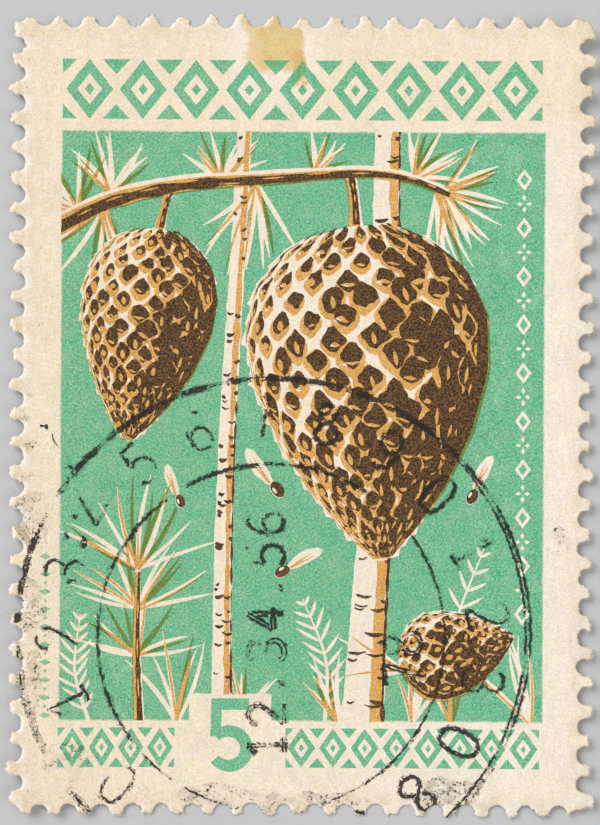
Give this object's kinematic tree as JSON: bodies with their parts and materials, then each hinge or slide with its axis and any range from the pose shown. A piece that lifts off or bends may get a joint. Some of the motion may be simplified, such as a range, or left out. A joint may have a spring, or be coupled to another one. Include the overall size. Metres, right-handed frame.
{
  "type": "postage stamp",
  "caption": "Used postage stamp: a small sheet of cream paper, perforated on all four sides and slightly curled, with a framed picture panel and a round postmark.",
  "frame": {"origin": "centre of the sheet on the plane that its gummed back rests on", "axes": "+X to the right of the printed face, +Y to its top, +Z out of the printed face"},
  "size_m": [0.0285, 0.039, 0.0008],
  "materials": {
    "stamp_paper": "aged cream uncoated paper with flat printed inks"
  },
  "bodies": {
    "root": {"stamp_sheet": "stamp_paper"}
  },
  "joints": []
}
